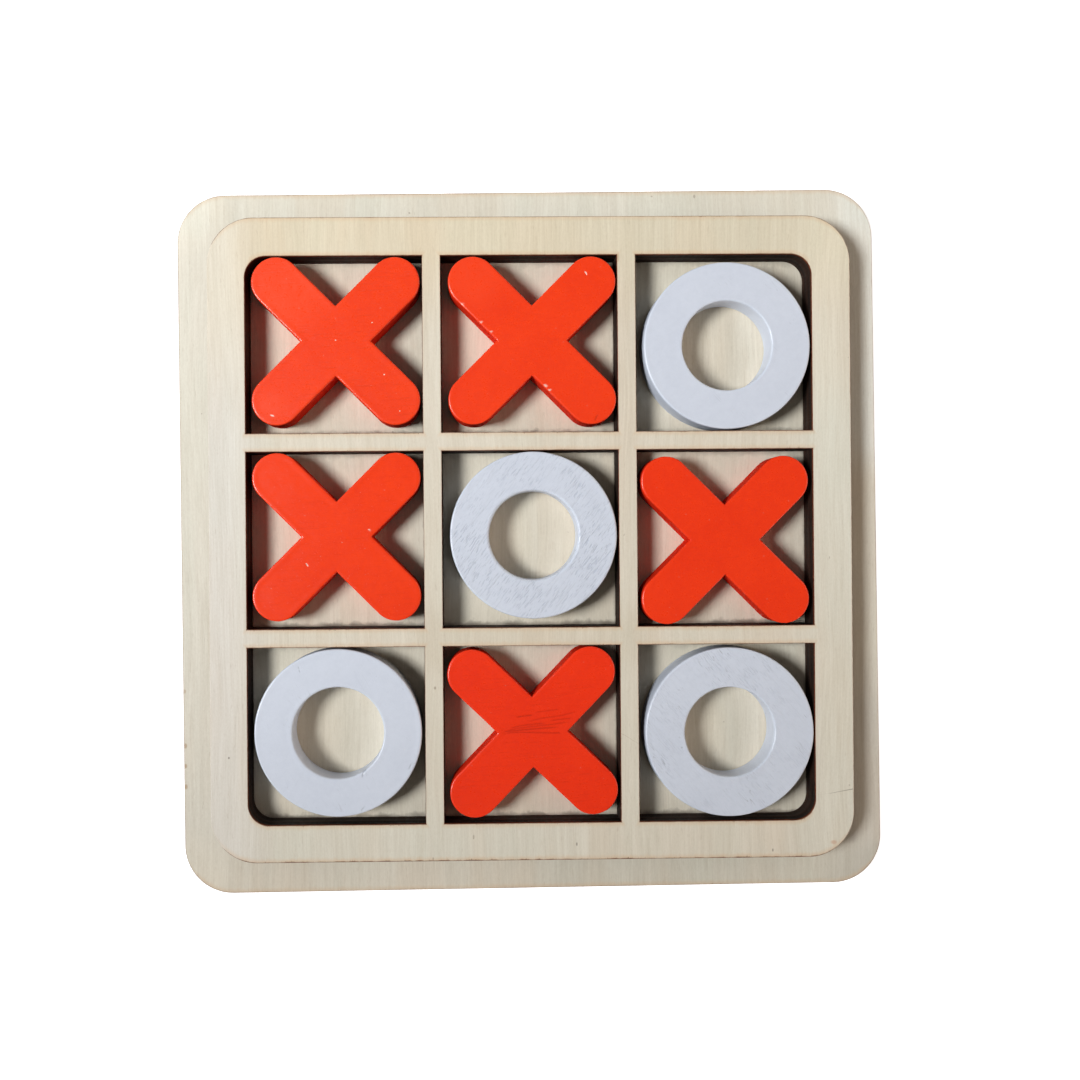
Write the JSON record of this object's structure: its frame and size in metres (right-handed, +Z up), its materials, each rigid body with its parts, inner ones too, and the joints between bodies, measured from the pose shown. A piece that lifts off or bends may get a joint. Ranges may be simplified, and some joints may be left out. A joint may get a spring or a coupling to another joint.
{
  "type": "tic tac toe set",
  "caption": "Square plywood noughts-and-crosses board with a raised grid frame, and loose painted wooden crosses and rings that lift out of its cells.",
  "frame": {"origin": "centre of the base board's underside", "axes": "+Z up out of the cells, +X to the player's right, +Y away from the player"},
  "size_m": [0.145, 0.145, 0.0094],
  "materials": {
    "plywood_base": "bare pale plywood, fine sanded, thin scorch line on the laser-cut edge",
    "plywood_frame": "bare pale plywood, fine sanded, charred brown laser-cut walls",
    "red_paint": "wood with semi-gloss orange-red paint",
    "white_paint": "wood with satin cool white paint, the grain showing through"
  },
  "bodies": {
    "board": {"base_board": "plywood_base", "grid_frame": "plywood_frame"},
    "x_piece_1": {"x_piece_1": "red_paint"},
    "x_piece_2": {"x_piece_2": "red_paint"},
    "x_piece_3": {"x_piece_3": "red_paint"},
    "x_piece_4": {"x_piece_4": "red_paint"},
    "x_piece_5": {"x_piece_5": "red_paint"},
    "o_piece_1": {"o_piece_1": "white_paint"},
    "o_piece_2": {"o_piece_2": "white_paint"},
    "o_piece_3": {"o_piece_3": "white_paint"},
    "o_piece_4": {"o_piece_4": "white_paint"}
  },
  "joints": [
    {"name": "x_piece_1_lift", "type": "slide", "parent": "board", "child": "x_piece_1", "axis": [0, 0, 1], "range_m": [0, 0.03]},
    {"name": "x_piece_2_lift", "type": "slide", "parent": "board", "child": "x_piece_2", "axis": [0, 0, 1], "range_m": [0, 0.03]},
    {"name": "x_piece_3_lift", "type": "slide", "parent": "board", "child": "x_piece_3", "axis": [0, 0, 1], "range_m": [0, 0.03]},
    {"name": "x_piece_4_lift", "type": "slide", "parent": "board", "child": "x_piece_4", "axis": [0, 0, 1], "range_m": [0, 0.03]},
    {"name": "x_piece_5_lift", "type": "slide", "parent": "board", "child": "x_piece_5", "axis": [0, 0, 1], "range_m": [0, 0.03]},
    {"name": "o_piece_1_lift", "type": "slide", "parent": "board", "child": "o_piece_1", "axis": [0, 0, 1], "range_m": [0, 0.03]},
    {"name": "o_piece_2_lift", "type": "slide", "parent": "board", "child": "o_piece_2", "axis": [0, 0, 1], "range_m": [0, 0.03]},
    {"name": "o_piece_3_lift", "type": "slide", "parent": "board", "child": "o_piece_3", "axis": [0, 0, 1], "range_m": [0, 0.03]},
    {"name": "o_piece_4_lift", "type": "slide", "parent": "board", "child": "o_piece_4", "axis": [0, 0, 1], "range_m": [0, 0.03]}
  ]
}
